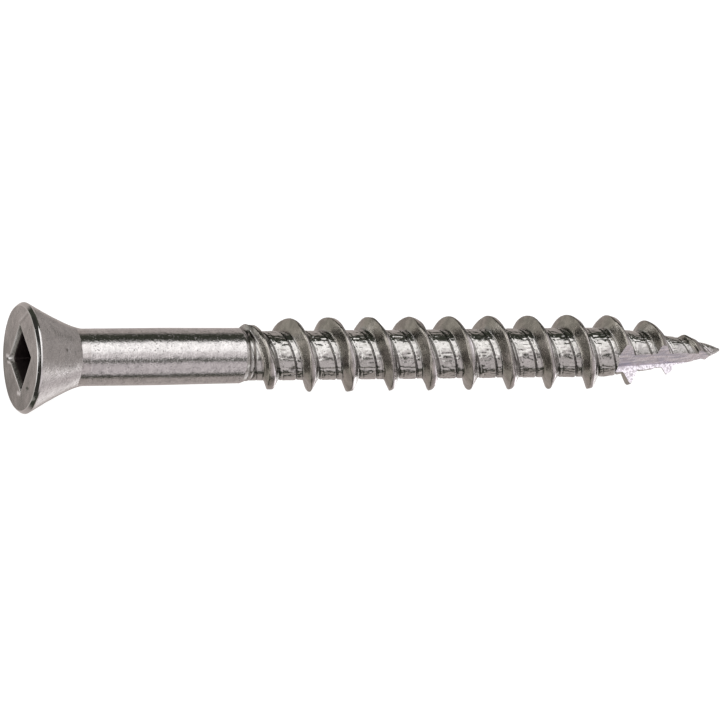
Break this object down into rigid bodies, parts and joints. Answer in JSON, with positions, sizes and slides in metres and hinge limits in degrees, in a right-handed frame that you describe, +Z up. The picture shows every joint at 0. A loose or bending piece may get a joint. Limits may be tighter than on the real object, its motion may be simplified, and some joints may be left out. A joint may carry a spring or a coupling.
{
  "type": "wood screw",
  "caption": "Stainless trim-head wood screw with a square drive socket, smooth shank, coarse right-hand thread and slash-cut point.",
  "frame": {"origin": "centre of the flat head face, on the screw's axis", "axes": "+X along the screw from the head face to the tip, +Z up with the screw lying on its side"},
  "size_m": [0.0413, 0.0062, 0.0062],
  "materials": {
    "steel_head": "cold-formed stainless steel, satin with fine pits",
    "steel_shank": "drawn and rolled stainless steel, bright with fine rolling marks",
    "steel_core": "rolled stainless steel with die marks",
    "steel_thread": "rolled stainless steel, darker and warmer in the thread's flanks"
  },
  "bodies": {
    "root": {"head": "steel_head", "neck": "steel_head", "shank": "steel_shank", "core": "steel_core", "thread": "steel_thread", "point": "steel_core", "point_thread": "steel_thread"}
  },
  "joints": []
}
